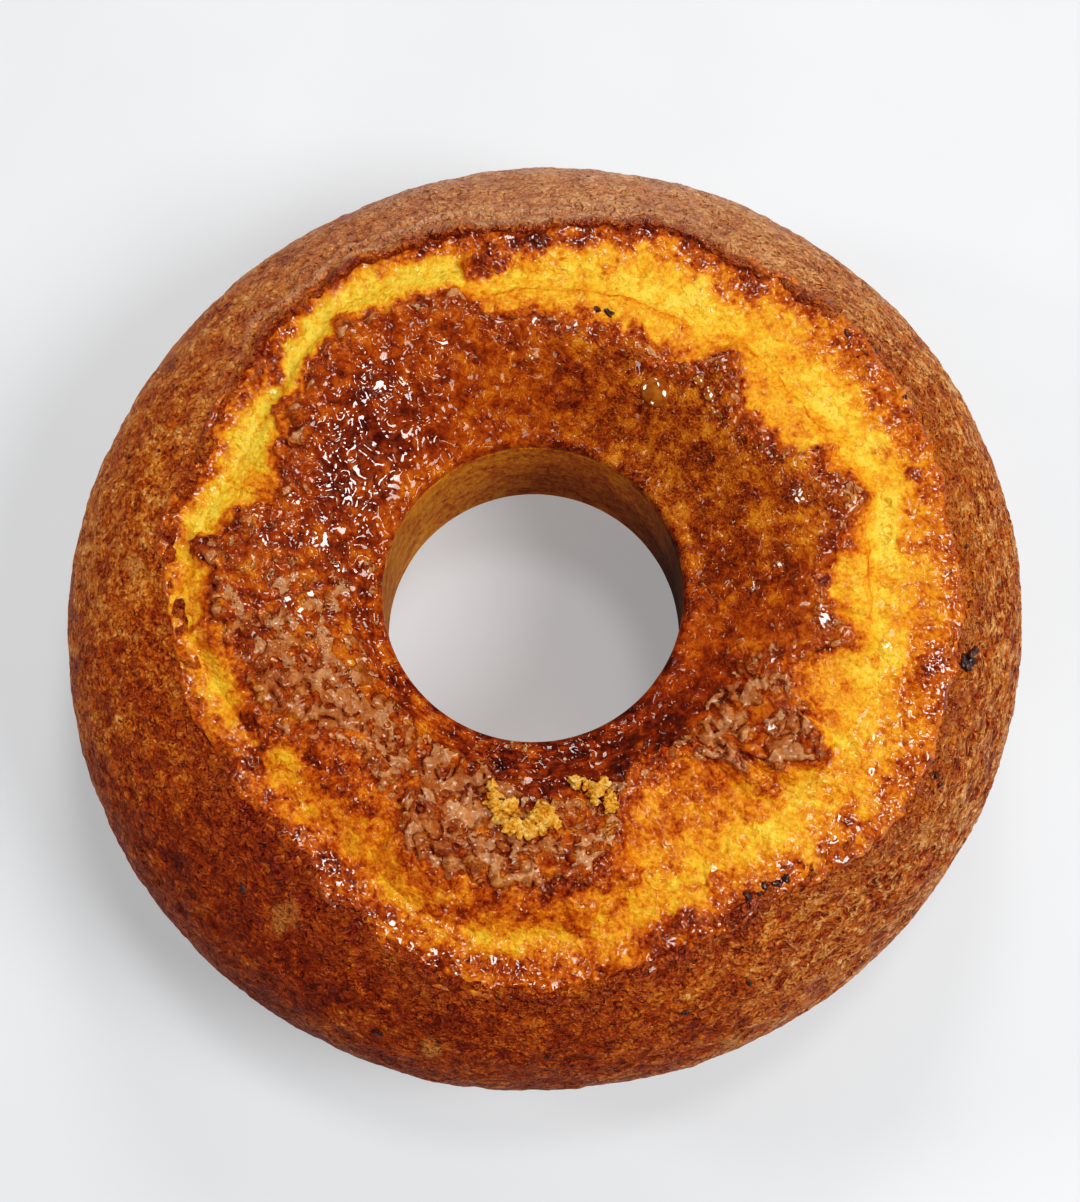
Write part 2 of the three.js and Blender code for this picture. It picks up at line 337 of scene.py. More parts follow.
def plain_cap_radius(turn):
    reach = 0 * turn
    for at, half_width, flake_reach in FLAKES:
        reach = reach + flake_reach * bell(turn, at, half_width)
    return np.minimum(smooth_round(CAP_RADII, turn) + reach, plain_lip_radius(turn) - LIP_WIDTH)


def cap_radius(turn):
    rough = ragged(turn, 2, [(11, 1.3), (5, 1.3), (2.3, 0.9)])
    return np.minimum(plain_cap_radius(turn) + rough, lip_radius(turn) - LIP_WIDTH)


def valley_radius(turn):
    middle = smooth_round(VALLEY_RADII, turn) + ragged(turn, 3, [(16, 1.0), (6, 0.6)])
    return np.clip(middle, plain_cap_radius(turn) + 1.5, plain_lip_radius(turn) - 1.5)


def lip_stand(turn):
    return np.clip(smooth_round(LIP_STEPS, turn), 0, 1)


def cap_stand(turn):
    """How proud the cap's edge stands of the crumb: 1 a flake that stands up, 0 one that melts in."""
    return 0.25 + 0.75 * np.max([share * bell(turn, at, width) for at, width, share in PROUD_EDGES], 0)


side_wander = wander(31, 5, 9)


def dome_height(radius, turn):
    """Height of the plain dome before it tore."""
    inward = (CREST_RADIUS - radius) / (CREST_RADIUS - RIM_RADIUS)
    inner = CREST_HEIGHT - (CREST_HEIGHT - RIM_HEIGHT) * inward ** 2
    outward = np.clip((radius - CREST_RADIUS) / (side_radius(turn) - CREST_RADIUS), 0, 1)
    outer = WIDEST_HEIGHT + (CREST_HEIGHT - WIDEST_HEIGHT) * np.sqrt(1 - outward ** 2)
    return np.where(radius < CREST_RADIUS, inner, outer)


def lip_height(turn):
    return dome_height(plain_lip_radius(turn), turn) + mix(-0.4, LIP_RISE, lip_stand(turn))


def lip_drop(turn):
    return mix(-0.2, 1.8, lip_stand(turn))


def cap_drop(turn):
    return mix(0.8, 2.2, cap_stand(turn))


def crumb_height(radius, turn):
    """Height of the torn crumb: down the bank from the lip to the valley, and up the slope to the cap."""
    lip, valley, cap = plain_lip_radius(turn), valley_radius(turn), plain_cap_radius(turn)
    bank_top = lip_height(turn) - lip_drop(turn)
    slope_top = dome_height(cap, turn) + CAP_RISE - cap_drop(turn)
    bottom = dome_height(valley, turn) - VALLEY_DEPTH * np.minimum(1, (lip - cap) / WIDE_TEAR)
    bank = mix(bank_top, bottom, np.clip((lip - radius) / (lip - valley), 0, 1) ** 2)
    slope = mix(bottom, slope_top, np.sin(np.clip((valley - radius) / (valley - cap), 0, 1) * math.pi / 2))
    return np.where(radius > valley, bank, slope)


# --- Skins ---


class Skin:
    """Rings of points round the cake, joined into one closed mesh, with numbers for the shader."""

    def __init__(self, sections):
        self.turn = np.arange(sections) * 360.0 / sections
        self.rings = []
        self.notes = []

    def add(self, ring, **notes):
        self.rings.append(ring)
        self.notes.append(notes)

    def points(self):
        return np.array(self.rings)

    def note(self, name):
        """One of the numbers at every point."""
        return np.array([0 * self.turn + notes.get(name, 0.0) for notes in self.notes])


def normals_of(points):
    """The way out at each point of a grid that closes on itself both ways."""
    along = np.roll(points, -1, 1) - np.roll(points, 1, 1)
    across = np.roll(points, -1, 0) - np.roll(points, 1, 0)
    out = np.cross(along, across)
    return out / np.maximum(np.linalg.norm(out, axis=-1, keepdims=True), 1e-9)


def shares(count, first=False, last=False):
    """Even shares from 0 to 1, with the ends only where asked for."""
    steps = np.linspace(0, 1, count + 2)
    return steps[0 if first else 1:len(steps) if last else -1]


# The core: the hole and the underside

CORE_SECTIONS = 500
CORE_RADIUS = 100.0
CORE_TOP = 50.0
HOLE_RINGS = 34


def core_skin():
    skin = Skin(CORE_SECTIONS)
    turn = skin.turn
    hole_edge = around_hole(turn, HOLE_FOOT_RADIUS + HOLE_FOOT_EDGE, 0.0)
    for t in shares(3, first=True):
        skin.add(mix(hole_edge, around(turn, CORE_RADIUS, 0.0), t))
    for height in (0.0, 1.0, CORE_TOP):
        skin.add(around(turn, CORE_RADIUS, height))
    skin.add(around_hole(turn, RIM_RADIUS + 12, CORE_TOP))
    skin.add(around_hole(turn, RIM_RADIUS + 5, RIM_HEIGHT - 4))
    skin.add(around_hole(turn, RIM_RADIUS + 1, RIM_HEIGHT - 0.8))
    for t in shares(HOLE_RINGS, first=True):
        height = mix(RIM_HEIGHT - 0.8, HOLE_FOOT_EDGE, t)
        skin.add(around_hole(turn, mix(RIM_RADIUS, HOLE_FOOT_RADIUS, t), height), hole=1)
    for t in shares(3, first=True):
        a = math.pi / 2 * t
        foot = HOLE_FOOT_RADIUS + HOLE_FOOT_EDGE * (1 - math.cos(a))
        skin.add(around_hole(turn, foot, HOLE_FOOT_EDGE * (1 - math.sin(a))), hole=1)
    points = skin.points()
    relief = 0.1 * lumps.rough(points, 6, 3) * skin.note("hole") * smoothstep(points[..., 2], 0, 6)
    # Painted shade on the hole's wall: darker towards its foot, on the left side, and darkest on the right
    # side
    painted_wall_shade = 0.08 * smoothstep(RIM_HEIGHT - 8 - points[..., 2], -10, 40) + 0.4 * bell(turn, *SHADED_WALL)
    painted_wall_shade = np.clip(np.maximum(painted_wall_shade, 1.2 * bell(turn, *PAINTED_SHADOW_WALL)), 0, 1)
    return skin, points + normals_of(points) * relief[..., None], {"painted_wall_shade": painted_wall_shade}


# The crust, from the foot up the mould's side and over the shoulder to the torn lip

CRUST_SECTIONS = 900
FOOT_RINGS = 5
WALL_RINGS = 20
SHOULDER_RINGS = 68
LIP_RINGS = 10
CRUST_DEPTH = 6.0
GRAIN_STRETCH = 1.4  # how much longer the crust's grain is round the cake than up it
# The same for its wrinkles, every 20 degrees, and how strong they are
WRINKLE_STRETCH = [2.8, 2.6, 2.3, 2, 1.8, 1.6, 1.5, 1.4, 1.4, 1.4, 1.4, 1.5, 1.5, 1.6, 1.8, 2.2, 2.6, 2.8]
WRINKLE_DEPTH = [1, 1, 0.95, 0.85, 0.65, 0.6, 0.6, 0.6, 0.6, 0.6, 0.65, 0.65, 0.65, 0.6, 0.65, 0.8, 0.95, 1]


def crust_skin():
    skin = Skin(CRUST_SECTIONS)
    turn = skin.turn
    side = side_radius(turn)
    foot = FOOT_RADIUS + side - SIDE_RADIUS
    taper = np.arctan2(SIDE_BOW * (side - foot), WIDEST_HEIGHT)
    edge_top = FOOT_EDGE * (1 - np.sin(taper))

    def wall_radius(height):
        return side - (side - foot) * (1 - height / WIDEST_HEIGHT) ** SIDE_BOW

    def ripple(height):
        return SIDE_RIPPLE * side_wander(turn + height) * np.minimum(1, height / WIDEST_HEIGHT)

    edge_middle = wall_radius(edge_top) - FOOT_EDGE * np.cos(taper)
    skin.add(around(turn, CORE_RADIUS - 0.5, 0.0))
    for t in shares(FOOT_RINGS - 2, first=True, last=True):
        a = (math.pi / 2 - taper) * t
        skin.add(around(turn, edge_middle + FOOT_EDGE * np.sin(a), FOOT_EDGE * (1 - np.cos(a))), side=1)
    for t in shares(WALL_RINGS):
        height = mix(edge_top, WIDEST_HEIGHT, t)
        skin.add(around(turn, wall_radius(height) + ripple(height), height), side=1)

    lip = lip_radius(turn)
    lip_foot = lip + LIP_WIDTH
    lip_angle = np.arccos((lip_foot - CREST_RADIUS) / (side - CREST_RADIUS))
    for t in shares(SHOULDER_RINGS - 2, first=True, last=True):
        a = lip_angle * t
        height = WIDEST_HEIGHT + (CREST_HEIGHT - WIDEST_HEIGHT) * np.sin(a)
        radius = CREST_RADIUS + (side - CREST_RADIUS) * np.cos(a) + ripple(height)
        skin.add(around(turn, radius, height), side=1, from_lip=radius - lip)

    foot_height = dome_height(lip_foot, turn)
    fall = mix(5.0, 1.4, lip_stand(turn))
    for t in shares(LIP_RINGS // 2, last=True):
        radius = mix(lip_foot, lip, t)
        skin.add(around(turn, radius, mix(foot_height, lip_height(turn), smoothstep(t, 0, 1))),
                 side=1, from_lip=radius - lip)
    for t in shares(LIP_RINGS - LIP_RINGS // 2 - 1, last=True):
        radius = lip - fall * t
        sunk = np.minimum(crumb_height(radius, turn), lip_height(turn) - lip_drop(turn)) - 1.2
        skin.add(around(turn, radius, mix(lip_height(turn), sunk, t * t)), side=1, from_lip=-fall * t)
    skin.add(around(turn, lip, lip_height(turn) - CRUST_DEPTH))
    skin.add(around(turn, side - 2 * CRUST_DEPTH, WIDEST_HEIGHT))
    skin.add(around(turn, CORE_RADIUS - 0.5, CRUST_DEPTH))

    points = skin.points()
    from_lip = skin.note("from_lip")
    shown = skin.note("side")
    top = smoothstep(points[..., 2], 45, 62) * shown
    near_lip = np.exp(-(from_lip / 3.0) ** 2) * top

    down = np.cumsum(np.linalg.norm(np.diff(points, axis=0, prepend=points[:1]), axis=-1), axis=0)
    downward = np.stack([0 * down, 0 * down, down], -1)
    grain = around(turn, SIDE_RADIUS, 0.0) + GRAIN_STRETCH * downward
    upward = downward[-4 - LIP_RINGS] - downward
    folded_place = around(turn, SIDE_RADIUS, 0.0) + smooth_round(WRINKLE_STRETCH, turn)[:, None] * upward
    folded_place = folded_place + 0.6 * np.stack([0 * down, 0 * down, lumps.at(points, 7)], -1)
    wrinkles = np.abs(lumps.at(folded_place, 6.5))
    wrinkled = smooth_round(WRINKLE_DEPTH, turn)

    # Relief: grain and wrinkles all over, crags at the lip, and folds beside it at the back
    crust = 0.3 * lumps.rough(points, 10, 2)
    crust = crust - 0.2 * np.abs(lumps.at(grain, 2.8)) + 0.12 * lumps.at(grain, 1.9)
    crust = crust + wrinkled * (0.3 - 1.1 * np.minimum(wrinkles, 0.55))
    lip_dark = np.clip(smooth_round(LIP_DARK, turn) + 0.5 * lumps.rough(points, 8, 2), 0, 1)
    crags = 0.9 * lumps.rough(points, 5.5, 3) + 0.7 * (lumps.pebbles(points, 4.2) - 0.5)
    crags = crags * mix(0.35, 1.0, lip_dark)
    folded = bell(turn, *FOLDED_CRUST) * top * smoothstep(from_lip, 11, 5) * smoothstep(from_lip, 0.3, 1.5)
    folds = folded * np.cos(2 * math.pi * (from_lip - 1.5 + 2 * lumps.rough(points, 13, 2)) / 3.6)
    out = shown * smoothstep(points[..., 2], 0, 10) * crust * (1 - 0.5 * folded)
    out = out + 0.5 * folds + near_lip * crags * 0.7
    patch = 0 * down
    for at, radius, size in PALE_PATCHES:
        patch = np.maximum(patch, spot(points, at, radius, size, 0.4, 0.5))
    patch = patch * smoothstep(points[..., 2], 43, 50)
    points = points + normals_of(points) * (out + 0.3 * patch)[..., None]

    # Tone and shine
    reach = smooth_round(STAIN_REACH, turn)
    ragged_reach = reach + (1.5 + 0.3 * reach) * lumps.rough(points, 7, 3)
    stain = smoothstep((ragged_reach - from_lip) / (2.4 + 0.5 * reach), -1, 1) * top
    shine = 0.12 + 0.36 * bell(turn, *GLOSSY_CRUST_BACK) + 0.26 * bell(turn, *GLOSSY_CRUST_FRONT)
    notes = {
        "lip": smoothstep(-from_lip + 1.6 * lumps.rough(points, 4, 3), -2.4, 1.0) * top,
        "amber": 1 - lip_dark,
        "stain": stain,
        "shine": np.minimum(shine + 0.12 * stain, 1),
        # Painted sheen: paler at the back, over the folds and on the folds' tops
        "painted_sheen": 0.4 * bell(turn, *PAINTED_SHEEN_CRUST) + 0.15 * folded + 0.45 * np.maximum(folds, 0),
        "patch": patch,
        "bake": smooth_round(CRUST_BAKE, turn) + 0.1 * lumps.rough(points, 9, 3),
        # Painted shade: darker in the troughs of the wrinkles, lighter on their crests
        "painted_wrinkle_shade": wrinkled * (wrinkles - 0.22),
        "wrinkled": wrinkled + 0 * down,
        "grain": grain * MM,
        "fold": folded_place * MM,
    }
    return skin, points, notes


# The crumb in the tear, from under the lip over bank, valley and slope to under the cap

CRUMB_SECTIONS = 1200
BANK_RINGS = 34
SLOPE_RINGS = 36
CRUMB_FLOOR = 52.0


def crumb_skin():
    skin = Skin(CRUMB_SECTIONS)
    turn = skin.turn
    lip, valley, cap = lip_radius(turn), valley_radius(turn), cap_radius(turn)
    outer, inner = lip + 1.5, cap - 4.5
    valley = np.clip(valley, inner + 1, outer - 1)
    skin.add(around(turn, outer, CRUMB_FLOOR + 6))
    for t in shares(BANK_RINGS, first=True):
        radius = mix(outer, valley, t)
        skin.add(around(turn, radius, crumb_height(radius, turn)), top=1)
    for t in shares(SLOPE_RINGS, first=True, last=True):
        radius = mix(valley, inner, t)
        skin.add(around(turn, radius, crumb_height(radius, turn)), top=1)
    skin.add(around(turn, inner, CRUMB_FLOOR))
    skin.add(around(turn, mix(cap, lip, 0.5), CRUMB_FLOOR))
    skin.add(around(turn, outer, CRUMB_FLOOR))

    # Relief: a smooth slope, a knobby bank, a torn edge at the cap and crags under the lip
    points = skin.points()
    direction, radius = polar(points)
    to_lip, to_cap, to_valley = lip - radius, radius - cap, np.abs(radius - valley)
    bank = smoothstep(radius - valley, -1.5, 2.5)
    low = smoothstep(direction % 360, 180, 215) * smoothstep(direction % 360, 330, 300)
    knobs = 0.7 * (lumps.pebbles(points, 3.6) - 0.5)
    knobs = knobs + 0.45 * lumps.rough(points, 3.4, 2) + 0.6 * lumps.at(points, 9)
    slope = 0.45 * lumps.rough(points, 8, 3) + 0.12 * lumps.at(points, 1.6)
    edge = np.exp(-(to_cap / 3.0) ** 2)
    crag_width = smooth_round(CRAG_WIDTHS, turn)
    crag_place = to_lip + 2.0 * lumps.rough(points, 5, 3) - crag_width
    crag = smoothstep(crag_place, 0.5, -2.0)
    craggy = 0.9 * (lumps.pebbles(points, 3.2) - 0.3) + 0.5 * np.abs(lumps.rough(points, 4, 2))
    relief = mix(slope, knobs, np.maximum(bank, 0.7 * low))
    out = mix(relief + edge * 0.8 * np.abs(lumps.rough(points, 5, 3)), craggy, crag)

    # Tone: palest in the valley, and browner towards the lip and the cap, where the tear has the room
    patches = lumps.rough(points, 7, 3)
    fresh = np.exp(-(to_valley / 4.5) ** 2)
    tan = mix(smooth_round(SLOPE_TAN, turn), smooth_round(BANK_TAN, turn), smoothstep(radius - valley, -4, 2))
    # Painted shade: the crumb is browner where its relief is low and paler on its knobs
    bake = 0.17 + 0.1 * patches + 0.1 * lumps.rough(points, 15, 2) - 0.12 * fresh + 0.4 * tan - 0.12 * relief
    roomy = np.clip((lip - cap) / 22, 0.35, 1)
    lip_side = smoothstep((crag_place + 1.5 * patches) / roomy, 8, 0)
    dots = smoothstep(lumps.at(points, 1.9), 0.25, 0.7)
    bake = bake + lip_side * (0.14 + 0.25 * dots) * roomy
    bake = bake + 0.12 * smoothstep((to_cap + 2 * patches) / roomy, 7, 1)
    for first, last, sheet_edge in SHEETS:
        inside = sheet_edge + 0.9 * lumps.rough(points, 6, 3) - radius
        along = between(direction, first, last, 3)
        out = out + 0.9 * along * smoothstep(inside, -0.3, 0.5) * smoothstep(inside, 9, 3)
        bake = mix(bake, 0.27 + 0.06 * patches, 0.8 * along * smoothstep(inside, -0.2, 1.0))
        bake = bake + 0.22 * along * np.exp(-((inside - 0.2) / 0.5) ** 2)
    brown = smoothstep(to_cap + 2.2 * lumps.rough(points, 4, 3), 2.8, -1.0)
    bake = mix(bake, 0.64, brown)
    crag_tone = smoothstep(crag_place, 2.5, -2.0) * (0.5 + 0.5 * smoothstep(crag_width, 1, 4))
    lip_dark = np.clip(smooth_round(LIP_DARK, turn), 0, 1)
    bake = mix(bake, mix(0.5, 0.66, lip_dark) + 0.14 * patches, crag_tone)
    for at, lump_radius, size, rise, tone in TEAR_LUMPS:
        lump = spot(points, at, lump_radius, size, 0.35, 0.6)
        out = out + rise * lump * (0.7 + 0.5 * lumps.pebbles(points, 3.0))
        bake = mix(bake, tone + 0.08 * patches, smoothstep(lump, 0.1, 0.7))
        brown = np.maximum(brown, lump)
    points = points + normals_of(points) * (skin.note("top") * out)[..., None]
    points, slants = slanted(points, TEAR_SLANTS, skin.note("top"))
    wet_bank = 0.2 * bell(direction, *WET_BANK_RIGHT) + 0.4 * bell(direction, *WET_BANK_FRONT)
    wet = 0.1 + 0.35 * lip_side + bank * wet_bank + 0.25 * lip_dark * crag + 0.25 * brown + slants
    return skin, points, {"bake": np.clip(bake, 0, 1), "wet": np.clip(wet, 0, 1), "slant": slants}


# The cap, a glazed crust with a flaky edge that ends over the rim of the hole

CAP_SECTIONS = 1000
CAP_RINGS = 80
CAP_THICKNESS = 4.5


def cap_skin():
    skin = Skin(CAP_SECTIONS)
    turn = skin.turn
    edge_radius = cap_radius(turn)
    edge = around(turn, edge_radius, 0.0)
    rim = around_hole(turn, RIM_RADIUS + RIM_EDGE, 0.0)
    width = np.linalg.norm((edge - rim)[:, :2], axis=1)
    drop = cap_drop(turn) + 1.0
    fall = mix(4.5, 0.9, cap_stand(turn))

    def top(t):
        ring = mix(edge, rim, t)
        direction, radius = polar(ring)
        height = mix(dome_height(radius, direction), RIM_HEIGHT + RIM_EDGE, t ** 4)
        ring[:, 2] = height + CAP_RISE * (1 - t) ** 2 - drop * (1 - np.clip(t * width / fall, 0, 1)) ** 2
        return ring

    skin.add(top(0) - [0, 0, 2.0])
    for t in (0.0, 0.006, 0.013, 0.021):
        skin.add(top(t), shown=1, inward=t * width, outward=(1 - t) * width)
    for t in mix(0.03, 1.0, shares(CAP_RINGS, first=True, last=True)):
        skin.add(top(t), shown=1, inward=t * width, outward=(1 - t) * width)
    for t in shares(4, last=True):
        a = math.pi / 2 * t
        radius, height = RIM_RADIUS + RIM_EDGE * (1 - math.sin(a)), RIM_HEIGHT + RIM_EDGE * math.cos(a)
        skin.add(around_hole(turn, radius, height), shown=1, inward=width, outward=-2 * t)
    lower = RIM_HEIGHT - 1.6 + ragged(turn, 4, [(9, 0.7), (3, 0.4)])
    skin.add(around_hole(turn, RIM_RADIUS + 0.1, mix(RIM_HEIGHT, lower, 0.6)), inward=width, outward=-3.0)
    skin.add(around_hole(turn, RIM_RADIUS + 0.4, lower), inward=width, outward=-4.0)
    skin.add(around_hole(turn, RIM_RADIUS + 2.0, RIM_HEIGHT - 4.5))
    for t in shares(2):
        skin.add(top(1 - t) - [0, 0, CAP_THICKNESS])

    # Where the cap is rough, glazed, velvety, dark or dry: inward is in mm from its edge, outward from
    # the rim of the hole
    points = skin.points()
    inward, outward, shown = skin.note("inward"), skin.note("outward"), skin.note("shown")
    inland = smoothstep(outward, 0, 14)
    near_edge = np.exp(-(inward / 6.0) ** 2)
    rough_side = np.maximum(bell(turn, *ROUGH_CAP_LEFT), bell(turn, *ROUGH_CAP_FRONT))
    glazed = bell(turn, *GLAZED_CAP) * smoothstep(outward, 2, 6) * smoothstep(inward, 6, 13)
    velvet = bell(turn, *VELVET_CAP) * smoothstep(inward, 2, 7)
    low = bell(turn, *DARK_CAP_RIM) * smoothstep(outward, 16, 9)
    rim_side = bell(turn, *STREAKED_CAP_RIM) * smoothstep(outward, 14, 6)
    bare = 2 + 7 * between(turn, *BARE_CAP_RIM, 15)
    dry_side = np.minimum(1.35 * bell(turn, *FLAKY_CAP_LEFT), 1)
    dry_side = np.maximum(dry_side, bell(turn, *FLAKY_CAP_FRONT)) * smoothstep(outward, bare, bare + 5)

    # Relief
    crags = np.abs(lumps.rough(points, 5.5, 3)) + 0.8 * lumps.pebbles(points, 4.8) - 0.75
    # Painted light: the crags' tops near the edge and on the rough side take the paler flake tone
    painted_lit_tops = smoothstep(crags, -0.1, 0.35) * np.maximum(near_edge, 0.8 * rough_side) * (1 - 0.7 * glazed)
    flakes = smoothstep(lumps.rough(points * [1, 1, 0.4], 6.5, 3), -0.65, -0.2) * dry_side
    gentle = 0.35 * lumps.at(points, 7) + 0.3 * lumps.rough(points, 14, 2)
    rough = 0.5 * lumps.rough(points, 11, 2) + 1.2 * crags
    broken = rough_side * (1 - 0.6 * glazed) * (1 - 0.7 * rim_side)
    crack = np.exp(-(lumps.rough(points * [1, 1, 0.4], 5, 2) / 0.17) ** 2) * np.clip(dry_side, 0, 1)
    flakes = flakes * (1 - 0.4 * crack)
    out = inland * (mix(gentle, rough, broken) + 0.4 * flakes)
    out = out + 1.4 * near_edge * crags * smoothstep(inward, 0, 2) - 0.8 * crack * shown
    out = out + 0.12 * lumps.rough(points, 5, 2) * smoothstep(outward, 0, 5)

    # Tone and shine
    patches = lumps.rough(points, 8, 3)
    # Painted shade: darker in the hollows between crags and in the cracks, and lighter on the crags' tops
    painted_hollow_shade = 0.16 * np.clip(0.3 - crags, -0.6, 1) * np.maximum(rough_side, near_edge) + 0.1 * crack
    bake = 0.61 + 0.1 * patches + 0.17 * low + 0.12 * glazed - 0.02 * rough_side - 0.08 * dry_side + painted_hollow_shade
    bake = bake - 0.14 * smoothstep(inward + 1.6 * lumps.rough(points, 2.6, 2), 1.2, -0.8)
    wettest = np.maximum(glazed, np.maximum(0.5 * near_edge, 0.35 * rough_side))
    wettest = wettest * (1 - 0.8 * rim_side * smoothstep(turn, 195, 230)) + 0.1 * low
    points = points + normals_of(points) * (shown * out)[..., None]
    points, slants = slanted(points, CAP_SLANTS, shown * (outward > 0))
    grain = around(turn, CREST_RADIUS - 12, 0.0) + np.stack([0 * outward, 0 * outward, 1.5 * outward], -1)
    notes = {
        "bake": np.clip(bake, 0, 0.92),
        "wet": np.clip(0.12 + 0.88 * wettest + slants, 0, 1),
        # the dry flakes, and painted light on the crags' tops
        "flakes_and_painted_lit_tops": np.maximum(flakes, mix(0.5, 0.75, near_edge) * painted_lit_tops),
        "slant": slants,
        "velvet": velvet,
        "rim": rim_side,
        "grain": grain * MM,
    }
    return skin, points, notes


# --- Shaders ---


LIGHT_LEVEL = 1.5  # the light that falls on the cake, where under 1 a colour looks as it is


def colour(text):
    """The colour that looks like a screen colour such as "a05020" under the lamps."""
    values = [int(text[k:k + 2], 16) / 255 for k in (0, 2, 4)]
    light = [v / 12.92 if v <= 0.04045 else ((v + 0.055) / 1.055) ** 2.4 for v in values]
    return [v / LIGHT_LEVEL for v in light] + [1.0]


class Nodes:
    """A tree of nodes, put together by short calls. Sizes are in mm on the cake."""

    def __init__(self, tree, coordinates):
        self.tree = tree
        self.place = self.node("ShaderNodeTexCoord").outputs[coordinates]

    def node(self, kind, inputs=None, **settings):
        made = self.tree.nodes.new(kind)
        for key, value in settings.items():
            setattr(made, key, value)
        for key, value in (inputs or {}).items():
            self.feed(made.inputs[key], value)
        return made

    def feed(self, socket, value):
        if isinstance(value, bpy.types.NodeSocket):
            self.tree.links.new(value, socket)
        else:
            socket.default_value = value

    def noise(self, size, detail=2.0, roughness=0.5, distortion=0.0, place=None):
        made = self.node("ShaderNodeTexNoise", {
            "Vector": place or self.place, "Scale": 1 / (size * MM), "Detail": detail,
            "Roughness": roughness, "Distortion": distortion})
        return made.outputs["Fac"]

    def vector(self, operation, a, b):
        return self.node("ShaderNodeVectorMath", {0: a, 1: b}, operation=operation).outputs[0]

    def pushed(self, place, size, reach):
        """Places pushed about by lumps of the given size."""
        push = self.node("ShaderNodeTexNoise", {"Vector": place, "Scale": 1 / (size * MM), "Detail": 2.0})
        push = self.vector("SUBTRACT", push.outputs["Color"], (0.5, 0.5, 0.5))
        return self.vector("ADD", place, self.vector("MULTIPLY", push, (reach * MM,) * 3))

    def curls(self, size, width, place=None, distortion=1.2):
        """Thin curly lines, 1 on a line and 0 off it."""
        field = self.noise(size, 1.0, 0.5, distortion, place)
        return self.step(self.maths("ABSOLUTE", self.sum(field, -0.5)), 0.0, width, 1.0, 0.0)

    def cell_kind(self, size, place):
        """A random number from 0 to 1 for each cell of the given size."""
        made = self.node("ShaderNodeTexVoronoi", {"Vector": place, "Scale": 1 / (size * MM)})
        return self.node("ShaderNodeSeparateColor", {"Color": made.outputs["Color"]}).outputs[0]

    def attribute(self, name, output="Fac"):
        return self.node("ShaderNodeAttribute", attribute_name=name).outputs[output]

    def step(self, value, low, high, from_value=0.0, to_value=1.0):
        """A soft step from one value to another."""
        made = self.node("ShaderNodeMapRange", {
            "Value": value, "From Min": low, "From Max": high, "To Min": from_value, "To Max": to_value},
            interpolation_type="SMOOTHSTEP")
        return made.outputs["Result"]

    def maths(self, operation, a, b=0.0):
        return self.node("ShaderNodeMath", {0: a, 1: b}, operation=operation).outputs[0]

    def times(self, a, b):
        return self.maths("MULTIPLY", a, b)

    def sum(self, *terms):
        """Terms are sockets, numbers, or pairs of a socket and a factor."""
        total = 0.0
        for term in terms:
            value = self.times(*term) if isinstance(term, tuple) else term
            total = self.maths("ADD", value, total)
        return total

    def mix(self, factor, a, b):
        """A mix of two colours, as sockets or texts."""
        made = self.node("ShaderNodeMix", data_type="RGBA")
        self.feed(made.inputs["Factor"], factor)
        for socket, value in ((made.inputs[6], a), (made.inputs[7], b)):
            self.feed(socket, colour(value) if isinstance(value, str) else value)
        return made.outputs[2]

    def ramp(self, value, stops):
        made = self.node("ShaderNodeValToRGB", {"Fac": value})
        ramp = made.color_ramp
        while len(ramp.elements) < len(stops):
            ramp.elements.new(0.5)
        for element, (at, tone) in zip(ramp.elements, stops):
            element.position = at
            element.color = colour(tone)
        return made.outputs["Color"]

    def bump(self, *layers):
        """Bumps on bumps. A layer is a height and its depth in mm."""
        normal = {}
        for height, depth in layers:
            made = self.node("ShaderNodeBump", {"Height": height, "Distance": depth * MM, **normal})
            normal = {"Normal": made.outputs["Normal"]}
        return made.outputs["Normal"]


class Shader(Nodes):
    """A node material."""

    def __init__(self, name):
        self.material = bpy.data.materials.new(name)
        self.material.use_nodes = True
        self.material.node_tree.nodes.clear()
        super().__init__(self.material.node_tree, "Object")

    def finish(self, **sockets):
        surface = self.node("ShaderNodeBsdfPrincipled", {k.replace("_", " "): v for k, v in sockets.items()})
        output = self.node("ShaderNodeOutputMaterial")
        self.tree.links.new(surface.outputs["BSDF"], output.inputs["Surface"])
        return self.material


BAKE_TONES = [
    (0.0, "fbd452"), (0.12, "f8c03c"), (0.28, "f2a02c"), (0.42, "e07e20"),
    (0.56, "bc5810"), (0.7, "8c3808"), (0.85, "5a1c04"), (1.0, "340c02"),
]


def core_material():
    s = Shader("hole wall")
    patches = s.noise(7, 4, 0.65)
    grit = s.noise(1.5, 3, 0.65, 0.4, s.vector("MULTIPLY", s.place, (1.0, 1.0, 0.5)))
    tone = s.ramp(s.sum((patches, 0.5), (grit, 0.5)), [
        (0.34, "9c4c08"), (0.44, "cc7410"), (0.52, "ea941c"), (0.62, "f8b23e")])
    # painted shade: the wall's tone darkens towards "361004" where it is shaded
    tone = s.mix(s.times(s.attribute("painted_wall_shade"), 0.88), tone, "361004")
    return s.finish(Base_Color=tone, Roughness=0.6, Normal=s.bump((grit, 1.2)), Specular_IOR_Level=0.1)


